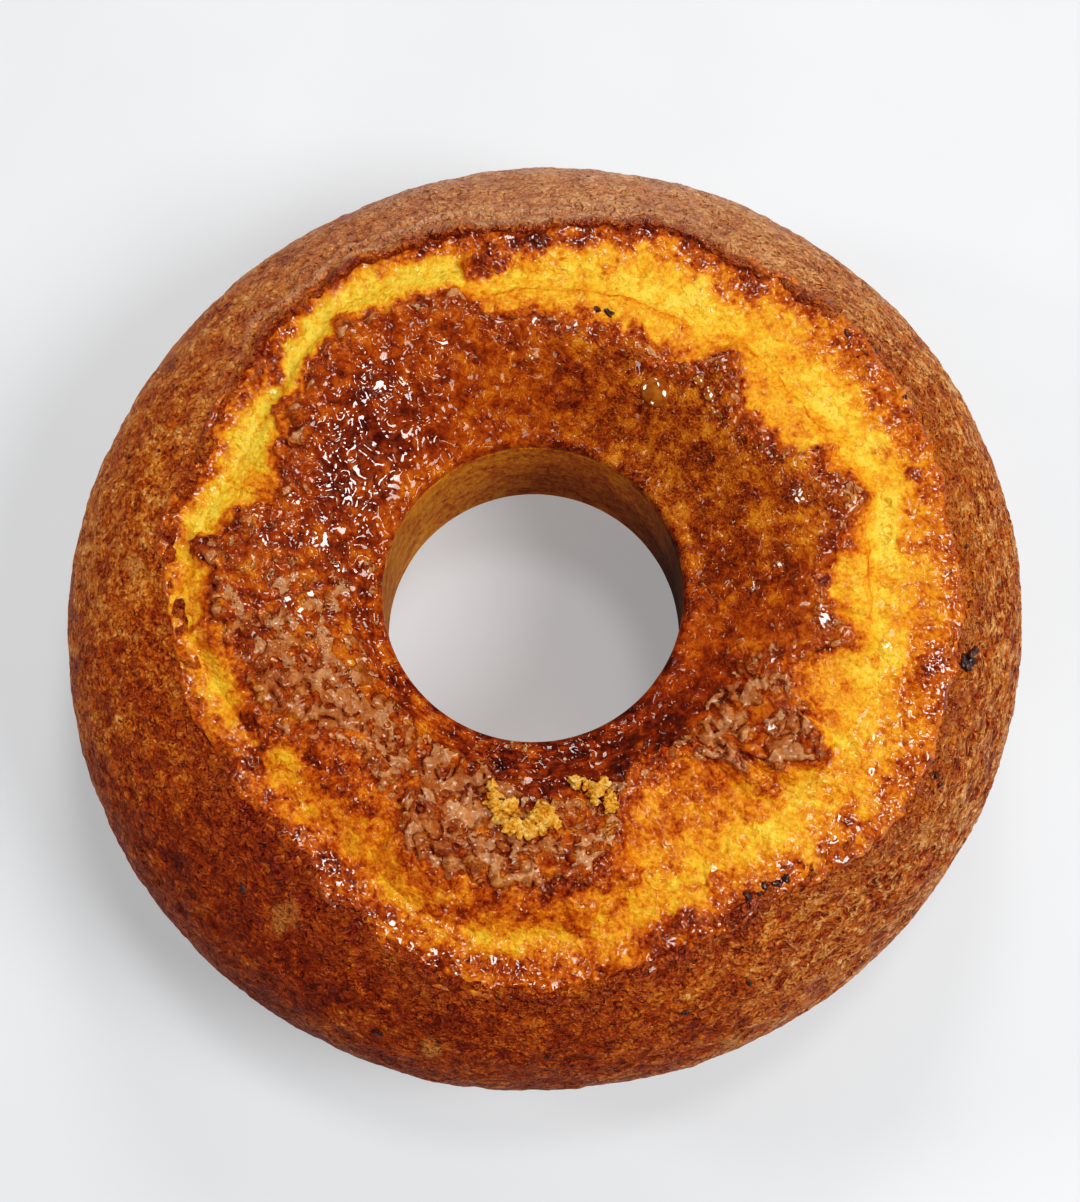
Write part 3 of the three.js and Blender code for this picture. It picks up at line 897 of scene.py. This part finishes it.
def crust_material():
    s = Shader("baked crust")
    place, fold = s.attribute("grain", "Vector"), s.attribute("fold", "Vector")
    wrinkled = s.attribute("wrinkled")
    patches = s.noise(6, 3, 0.6)
    worms = s.noise(2.2, 1.5, 0.5, 1.1, place)
    fine = s.noise(1.1, 2, 0.6, 0.6, place)
    # troughs between the fold lines' ridges: lower in the bump, and darker in the tone as painted shade
    troughs_and_painted_shade = s.maths("ABSOLUTE", s.sum(s.noise(4.4, 1.0, 0.5, 0.9, fold), -0.5))
    troughs_and_painted_shade = s.times(s.sum(troughs_and_painted_shade, -0.08), wrinkled)
    # thin ridge lines of the wrinkles: a small bump, and a painted highlight in the tone
    ridge_lines_and_painted_highlight = s.times(s.curls(6.5, 0.07, fold, 0.8), s.step(wrinkled, 0.7, 0.95))
    level = s.sum(
        s.attribute("bake"), (patches, 0.3), (fine, 0.65), (worms, -0.6), (troughs_and_painted_shade, 1.2),
        (s.attribute("painted_wrinkle_shade"), 0.4), (ridge_lines_and_painted_highlight, -0.16), -0.185)
    tone = s.ramp(level, [
        (0.0, "f8ba7c"), (0.14, "e89444"), (0.3, "c86818"), (0.46, "a6480c"), (0.66, "863006"),
        (0.95, "5c1a03")])
    # painted sheen: the crust pales towards "d8a07c"
    tone = s.mix(s.attribute("painted_sheen"), tone, "d8a07c")
    # painted shade: dark "561a06" in the pits of the worms' bump, and the tone lighter on its tops
    tone = s.mix(s.step(worms, 0.3, 0.38, 0.5, 0), tone, "561a06")
    # painted highlight: the wrinkles' ridge lines are lightened towards "f2ae70"
    tone = s.mix(s.times(ridge_lines_and_painted_highlight, 0.6), tone, "f2ae70")
    tone = s.mix(s.times(s.attribute("patch"), 0.5), tone, "e8a45c")
    blotches = s.sum((patches, 0.4), (worms, 0.6))
    red = s.ramp(blotches, [(0.3, "561202"), (0.43, "7c2604"), (0.55, "a0440c"), (0.7, "cc7428")])
    amber = s.ramp(blotches, [(0.3, "8e3c08"), (0.45, "bc5e10"), (0.6, "d87c1e"), (0.75, "f0a448")])
    red = s.mix(s.attribute("amber"), red, amber)
    tone = s.mix(s.times(s.attribute("stain"), 0.86), tone, red)
    tone = s.mix(s.attribute("lip"), tone, red)
    relief = s.bump((worms, 2.5), (troughs_and_painted_shade, -1.2), (ridge_lines_and_painted_highlight, 0.4), (fine, 1.0))
    return s.finish(
        Base_Color=tone, Roughness=0.5, Normal=relief, Specular_IOR_Level=0.1,
        Coat_Weight=s.attribute("shine"), Coat_Roughness=0.1, Coat_IOR=1.6, Coat_Normal=relief)


def crumb_material():
    s = Shader("moist crumb")
    patches = s.noise(4.5, 3, 0.6)
    fine = s.noise(1.1, 2, 0.65)
    pores = s.noise(1.7, 1, 0.5, 0.7)
    facets = s.cell_kind(3.6, s.pushed(s.place, 2.6, 2.4))
    level = s.sum(
        s.attribute("bake"), (s.sum(patches, -0.5), 0.6), (s.sum(facets, -0.5), 0.16),
        (s.sum(fine, -0.5), 0.7))
    tone = s.ramp(level, BAKE_TONES)
    tone = s.mix(s.step(pores, 0.33, 0.38, 0.5, 0), tone, "dc7a12")
    relief = s.bump((pores, 0.7), (fine, 0.55), (facets, 0.35))
    calm = s.step(s.attribute("slant"), 0.0, 0.6, 1.0, 0.4)
    wet = s.bump((s.times(s.noise(2.2, 0.5), calm), 1.7))
    return s.finish(
        Base_Color=tone, Roughness=0.5, Normal=relief, Specular_IOR_Level=0.1,
        Subsurface_Weight=0.15, Subsurface_Radius=(1.0, 0.5, 0.15), Subsurface_Scale=0.001,
        Coat_Weight=s.times(s.attribute("wet"), s.step(patches, 0.4, 0.52, 0.3, 1.0)),
        Coat_Roughness=0.06, Coat_IOR=1.6, Coat_Normal=wet)


def cap_material():
    s = Shader("glazed cap")
    velvet, flakes_and_painted_lit_tops, rim = s.attribute("velvet"), s.attribute("flakes_and_painted_lit_tops"), s.attribute("rim")
    place = s.attribute("grain", "Vector")
    patches = s.noise(5, 3, 0.6)
    mottle = s.noise(2.0, 3, 0.6, 0.6)
    fibres = s.noise(0.9, 3, 0.65, 1.5, place)
    streaks = s.noise(2.4, 3, 0.6, 0.5, s.vector("MULTIPLY", place, (0.5, 0.5, 2.0)))
    level = s.sum(
        s.attribute("bake"), (s.times(s.sum(patches, -0.5), s.sum(velvet, 1.0)), 0.45),
        (s.sum(mottle, -0.5), 0.6),
        (s.times(s.sum(streaks, -0.5), rim), 0.8),
        (s.times(s.sum(fibres, -0.5), s.step(velvet, 0, 1, 0.35, 1.0)), 0.9))
    tone = s.ramp(level, BAKE_TONES)
    golden = s.ramp(level, [(0.35, "d88e30"), (0.5, "b4641a"), (0.62, "90400a"), (0.8, "5e1e04")])
    curls = s.times(s.curls(2.6, 0.05, place), velvet)
    tone = s.mix(s.times(velvet, 0.75), tone, golden)
    tone = s.mix(s.times(curls, 0.4), tone, "d89038")
    shard_kind = s.cell_kind(3.4, s.pushed(place, 2.4, 4.0))
    # the flake tone lies on the dry flakes, and as painted light on the crags' tops
    shards = s.sum((shard_kind, 0.5), (s.noise(3.4, 3, 0.65, 0.8, place), 1.2), (flakes_and_painted_lit_tops, 0.9), -1.34)
    litter = s.times(s.step(shards, 0.0, 0.14), s.step(flakes_and_painted_lit_tops, 0.05, 0.4))
    flake_tone = s.ramp(s.sum((shard_kind, 0.5), (mottle, 0.9)), [
        (0.45, "7e3a14"), (0.6, "a45c2e"), (0.76, "c27c4c"), (0.98, "e0a67a")])
    tone = s.mix(s.times(litter, 0.75), tone, flake_tone)
    shard_height = s.times(litter, s.sum(shard_kind, 0.5))
    relief = s.bump((mottle, 1.0), (fibres, 0.35), (shard_height, 0.7))
    calm = s.step(s.attribute("slant"), 0.0, 0.6, 1.0, 0.4)
    creases = s.maths("ABSOLUTE", s.sum(s.noise(4.8, 0.0, 0.5, 0.8), -0.5))
    creases = s.times(creases, calm)
    wet = s.bump((creases, 2.3), (s.times(s.noise(1.8, 0.0), calm), 0.4), (shard_height, 0.9))
    weight = s.maths("MAXIMUM", s.attribute("wet"), s.times(litter, 0.35))
    return s.finish(
        Base_Color=tone, Roughness=0.5, Normal=relief, Specular_IOR_Level=0.1,
        Coat_Weight=weight, Coat_Roughness=0.05, Coat_IOR=1.6, Coat_Normal=wet)


# --- The pieces ---


def mesh_of(name, points, faces, notes):
    """A smooth mesh object from points in mm, with numbers or vectors at them for the shader."""
    mesh = bpy.data.meshes.new(name)
    mesh.vertices.add(len(points))
    mesh.vertices.foreach_set("co", (points * MM).astype(np.float32).ravel())
    mesh.loops.add(faces.size)
    mesh.loops.foreach_set("vertex_index", faces.astype(np.int32).ravel())
    mesh.polygons.add(len(faces))
    mesh.polygons.foreach_set("loop_start", np.arange(0, faces.size, faces.shape[1], dtype=np.int32))
    mesh.polygons.foreach_set("use_smooth", np.ones(len(faces), bool))
    for key, values in notes.items():
        kind, field = ("FLOAT", "value") if values.size == len(points) else ("FLOAT_VECTOR", "vector")
        layer = mesh.attributes.new(key, kind, "POINT")
        layer.data.foreach_set(field, values.astype(np.float32).ravel())
    mesh.update()
    mesh.validate()
    piece = bpy.data.objects.new(name, mesh)
    bpy.context.scene.collection.objects.link(piece)
    return piece


def grid_faces(rings, sections):
    """Quads between rings that close on themselves both ways, facing out."""
    ring, section = np.meshgrid(np.arange(rings), np.arange(sections), indexing="ij")
    next_ring, next_section = (ring + 1) % rings, (section + 1) % sections
    corners = [(ring, section), (ring, next_section), (next_ring, next_section), (next_ring, section)]
    return np.stack([r * sections + s for r, s in corners], -1).reshape(-1, 4)


def build_skin(name, skin, material, centre):
    made, points, notes = skin
    piece = mesh_of(name, points.reshape(-1, 3) - centre, grid_faces(*points.shape[:2]), notes)
    piece.data.materials.append(material)
    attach(piece, "root")
    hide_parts("cake")
    return piece


def middle_of(points):
    """The middle of what the points cover in plan."""
    low, high = points.reshape(-1, 3).min(0), points.reshape(-1, 3).max(0)
    return np.array([(low[0] + high[0]) / 2, (low[1] + high[1]) / 2, 0.0])


crust, crumb, cap = crust_skin(), crumb_skin(), cap_skin()
centre = middle_of(crust[1])
build_skin("core", core_skin(), core_material(), centre)
build_skin("crust", crust, crust_material(), centre)
build_skin("crumb", crumb, crumb_material(), centre)
build_skin("cap", cap, cap_material(), centre)

# --- Small things on the cake ---


class TopSurface:
    """The cake's upper surface, for small things to lie on."""

    def __init__(self, *skins):
        self.points = np.concatenate([points.reshape(-1, 3) for _, points, _ in skins])
        self.normals = np.concatenate([normals_of(points).reshape(-1, 3) for _, points, _ in skins])
        upper = self.normals[:, 2] > 0.2
        self.points, self.normals = self.points[upper], self.normals[upper]

    def at(self, direction, radius):
        """The surface's point at a direction and radius, and the way out of it there."""
        target = around(np.array([float(direction)]), radius, 0.0)[0]
        away = np.hypot(*(self.points - target)[:, :2].T)
        near = np.argpartition(away, 12)[:12]
        near = near[self.points[near, 2] > self.points[near, 2].max() - 0.8]
        out = self.normals[near].mean(0)
        return np.array([*target[:2], self.points[near, 2].mean()]), out / np.linalg.norm(out)


def ball(subdivisions):
    """Points and triangles of a ball of radius 1."""
    made = bmesh.new()
    bmesh.ops.create_icosphere(made, subdivisions=subdivisions, radius=1.0)
    points = np.array([corner.co[:] for corner in made.verts])
    faces = np.array([[corner.index for corner in face.verts] for face in made.faces])
    made.free()
    return points, faces


def build_bits(name, material, places, detail, raggedness, seed):
    """Small lumps in one mesh. A place is direction, radius, length, width, height and lift."""
    rng = np.random.default_rng(seed)
    ball_points, ball_faces = ball(detail)
    points, faces = [], []
    for direction, radius, length, width, height, lift in places:
        ground, out = top.at(direction, radius)
        along = np.cross(out, rng.normal(size=3))
        along = along / np.linalg.norm(along)
        shape = ball_points * (1 + raggedness * lumps.rough(ball_points + 9.1 * len(points), 1.1, 3))[:, None]
        shape = shape * [length / 2, width / 2, height / 2]
        points.append(ground + out * lift + shape @ np.array([along, np.cross(out, along), out]))
        faces.append(ball_faces + len(faces) * len(ball_points))
    piece = mesh_of(name, np.concatenate(points) - centre, np.concatenate(faces), {})
    piece.data.materials.append(material)
    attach(piece, "root")
    return piece


# Heaps of loose crumbs: direction, radius, reach in mm and how many
CRUMB_HEAPS = [
    (259.5, 54, 3.6, 22), (263, 58, 1.8, 8), (269.5, 55.5, 3.8, 26), (266, 58.5, 2.4, 8),
    (284, 50.5, 3.0, 16), (286, 53.5, 2, 8), (280, 47, 2.2, 6), (256, 51, 2.5, 6),
]
# Burnt bits and specks: direction, radius, length and width in mm
BURNT_BITS = [
    (77.2, 68.9, 2.6, 1.6), (79.5, 68.8, 1.9, 1.5), (302.5, 86.4, 2.6, 1.8), (304.2, 87.6, 1.9, 1.6),
    (305.6, 86.7, 2.5, 1.7), (307.2, 87.7, 2.0, 1.6), (308.8, 88.4, 2.4, 1.8), (303.4, 88.4, 1.4, 1.0),
    (349.6, 101.6, 3.4, 2.6), (351.2, 102.6, 3.0, 2.4), (350.6, 101.0, 2.4, 1.8), (350.3, 103.2, 2.6, 2.0),
    (352.0, 103.8, 1.6, 1.3), (334.2, 102.2, 1.7, 1.2), (333.4, 104.0, 1.2, 0.8), (40.9, 97.8, 1.7, 1.2),
    (37.1, 95.9, 0.9, 0.8), (28.5, 99.5, 1.3, 1.1), (6.0, 102.0, 0.9, 0.8), (225.4, 99.6, 2.6, 1.1),
    (270.3, 109.0, 1.2, 1.0), (288.1, 104.4, 1.4, 0.9), (297.0, 104.0, 2.2, 0.8), (294.6, 104.4, 1.2, 0.7),
    (256.8, 108.7, 0.9, 0.8), (161.5, 108.0, 1.2, 0.9), (160.0, 100.0, 0.9, 0.7), (249.5, 111.0, 2.0, 1.1),
]
# Blisters in the syrup: direction, radius, length and width in mm
BLISTERS = [
    (61.0, 54.6, 7.6, 6.6), (50.0, 61.2, 3.6, 2.8), (53.6, 62.2, 2.8, 2.4), (46.8, 58.6, 2.0, 1.6),
    (94.0, 56.4, 2.4, 2.0),
]


def heaped_crumbs():
    rng = np.random.default_rng(11)
    places = []
    for direction, radius, reach, count in CRUMB_HEAPS:
        for _ in range(count):
            share = rng.random()
            away, way = reach * share ** 0.7, rng.random() * 2 * math.pi
            size = rng.uniform(1.6, 5.2) * (1 - 0.55 * share)
            lift = rng.uniform(0.0, 1.2) * (1 - share) + 0.15 * size
            places.append((
                direction + math.degrees(away * math.cos(way) / radius), radius + away * math.sin(way),
                size, 0.75 * size, 0.6 * size, lift))
    return places


def crumbs_material():
    s = Shader("loose crumbs")
    grit = s.noise(0.7, 3, 0.65)
    tone = s.ramp(s.sum((grit, 0.6), (s.noise(2.5, 2), 0.4)), [
        (0.36, "c46e1a"), (0.45, "e6983a"), (0.54, "fabc58"), (0.66, "ffdc94")])
    return s.finish(Base_Color=tone, Roughness=0.75, Normal=s.bump((grit, 0.6)), Specular_IOR_Level=0.1)


def burnt_material():
    s = Shader("burnt bits")
    grit = s.noise(0.9, 3, 0.6)
    tone = s.ramp(grit, [(0.35, "1c0a04"), (0.55, "3c160a"), (0.7, "6e2c10")])
    return s.finish(
        Base_Color=tone, Roughness=0.5, Normal=s.bump((grit, 0.5)), Specular_IOR_Level=0.3,
        Coat_Weight=0.4, Coat_Roughness=0.12)


def blister_material():
    s = Shader("syrup blister")
    clouds = s.noise(2.2, 2)
    tone = s.ramp(clouds, [(0.35, "b45c1c"), (0.65, "e09040")])
    return s.finish(
        Base_Color=tone, Roughness=s.step(clouds, 0.3, 0.7, 0.02, 0.08), IOR=1.36, Transmission_Weight=0.4,
        Normal=s.bump((s.noise(1.6, 1), 0.25)), Coat_Weight=1.0, Coat_Roughness=0.03, Coat_IOR=1.6)


top = TopSurface(crust, crumb, cap)
build_bits("loose_crumbs", crumbs_material(), heaped_crumbs(), 4, 0.75, 21)
build_bits("burnt_specks", burnt_material(), [
    (at, radius, length, width, 0.6 * width, 0.0) for at, radius, length, width in BURNT_BITS], 3, 0.65, 22)
build_bits("syrup_blisters", blister_material(), [
    (at, radius, length, width, 0.45 * width, 0.0) for at, radius, length, width in BLISTERS], 4, 0.05, 23)

# --- Floor, light and camera ---

FLOOR_SIZE = 80.0  # in m
FAR_FLOOR = (0.28, 1.3)  # how far from the cake, in m, the floor's own glow starts and stops rising
FLOOR_GLOW = (0.3, 0.75)  # near and far

floor_mesh = bpy.data.meshes.new("floor")
floor_corners = [(x * FLOOR_SIZE / 2, y * FLOOR_SIZE / 2, 0) for x, y in ((-1, -1), (1, -1), (1, 1), (-1, 1))]
floor_mesh.from_pydata(floor_corners, [], [(0, 1, 2, 3)])
floor = bpy.data.objects.new("floor", floor_mesh)
bpy.context.scene.collection.objects.link(floor)
paper = Shader("pale floor")
paper_tone = paper.ramp(paper.noise(60, 3), [(0.3, "c2c4c6"), (0.7, "c6c8ca")])
from_cake = paper.node("ShaderNodeVectorMath", {0: paper.place}, operation="LENGTH").outputs["Value"]
floor_mesh.materials.append(paper.finish(
    Base_Color=paper_tone, Roughness=0.7, Emission_Color=(0.96, 0.98, 1.0, 1.0),
    Emission_Strength=paper.step(from_cake, *FAR_FLOOR, *FLOOR_GLOW)))

LIGHT_DISTANCE = 1.1
# Soft lamps round the cake: name, direction, elevation, width in m, power in W
LAMPS = [
    ("window", -16, 50, 0.5, 11.6),
    ("top lamp", 60, 74, 0.2, 3.1),
    ("back lamp", 85, 40, 0.3, 5.0),
    ("left lamp", 172, 32, 0.22, 3.6),
    ("front lamp", 240, 26, 0.25, 2.2),
]


def towards(direction, elevation):
    a, e = math.radians(direction), math.radians(elevation)
    return Vector((math.cos(e) * math.cos(a), math.cos(e) * math.sin(a), math.sin(e)))


for name, direction, elevation, width, power in LAMPS:
    light = bpy.data.lights.new(name, "AREA")
    light.shape = "DISK"
    light.size = width
    light.energy = power
    lamp = bpy.data.objects.new(name, light)
    lamp.location = towards(direction, elevation) * LIGHT_DISTANCE
    lamp.rotation_mode = "QUATERNION"
    lamp.rotation_quaternion = towards(direction, elevation).to_track_quat("Z", "Y")
    bpy.context.scene.collection.objects.link(lamp)


BRIGHT_WAY = (0.45, 0.85, 0.0)
ROOM_COLOUR = (1.0, 0.88, 0.74, 1.0)


def studio_world():
    """A pale room, brightest low down at the back right and dark overhead."""
    world = bpy.data.worlds.new("studio")
    world.use_nodes = True
    room = Nodes(world.node_tree, "Generated")
    height = room.node("ShaderNodeSeparateXYZ", {0: room.place}).outputs["Z"]
    facing = room.node("ShaderNodeVectorMath", {0: room.place, 1: BRIGHT_WAY}, operation="DOT_PRODUCT")
    side = room.node("ShaderNodeMapRange", {
        "Value": facing.outputs["Value"], "From Min": -0.9, "From Max": 0.9, "To Min": 0.15, "To Max": 1.0})
    strength = room.times(room.step(height, 0.08, 0.36, 1.2, 0.09), side.outputs["Result"])
    background = world.node_tree.nodes["Background"]
    room.feed(background.inputs["Strength"], strength)
    room.feed(background.inputs["Color"], ROOM_COLOUR)
    return world


bpy.context.scene.world = studio_world()

CAMERA_AIM = Vector((-1.2, 3.1, 36.0)) * MM
CAMERA_DISTANCE = 480 * MM
CAMERA_ELEVATION = 78.6
LENS = 56.3

camera = bpy.data.cameras.new("camera")
camera.lens = LENS
camera.sensor_width = 36.0
camera_object = bpy.data.objects.new("camera", camera)
back = towards(-90, CAMERA_ELEVATION)
camera_object.location = CAMERA_AIM + back * CAMERA_DISTANCE
camera_object.rotation_mode = "QUATERNION"
camera_object.rotation_quaternion = back.to_track_quat("Z", "Y")
bpy.context.scene.collection.objects.link(camera_object)
bpy.context.scene.camera = camera_object

# The picture's contrast: the darkest tones a little darker
SHADE_CURVE = [(0.03, 0.012), (0.12, 0.095), (0.3, 0.3)]
view_settings = bpy.context.scene.view_settings
view_settings.view_transform = "Standard"
view_settings.use_curve_mapping = True
for point in SHADE_CURVE:
    view_settings.curve_mapping.curves[3].points.new(*point)
view_settings.curve_mapping.update()
